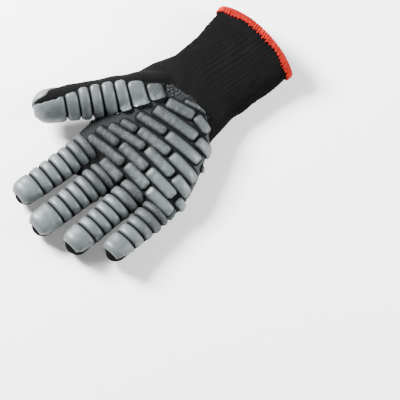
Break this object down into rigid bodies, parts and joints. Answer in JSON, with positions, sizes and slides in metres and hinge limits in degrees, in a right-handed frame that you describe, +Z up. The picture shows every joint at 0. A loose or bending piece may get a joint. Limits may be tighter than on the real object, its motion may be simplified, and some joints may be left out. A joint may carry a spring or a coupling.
{
  "type": "anti vibration glove",
  "caption": "Right hand knitted work glove lying palm up, with ribbed rubber grip pads on palm, fingers and thumb and a hemmed cuff.",
  "frame": {"origin": "middle of the glove's footprint, on the surface it lies on", "axes": "+X from the cuff towards the fingertips, +Y from the thumb's side towards the little finger's, +Z up out of the palm"},
  "size_m": [0.2718, 0.163, 0.0413],
  "materials": {
    "knit": "fine charcoal black knit",
    "hem_thread": "orange overlock thread",
    "grip_rubber": "satin grey foam rubber",
    "coat_rubber": "thin satin light grey rubber",
    "label_cloth": "white woven label with an orange edge"
  },
  "bodies": {
    "root": {"knit_shell": "knit", "cuff_hem": "hem_thread", "palm_pad": "grip_rubber", "thumb_pad": "grip_rubber", "thumb_back_coat": "coat_rubber", "index_pad": "grip_rubber", "middle_pad": "grip_rubber", "ring_pad": "grip_rubber", "little_pad": "grip_rubber", "size_label": "label_cloth"}
  },
  "joints": []
}
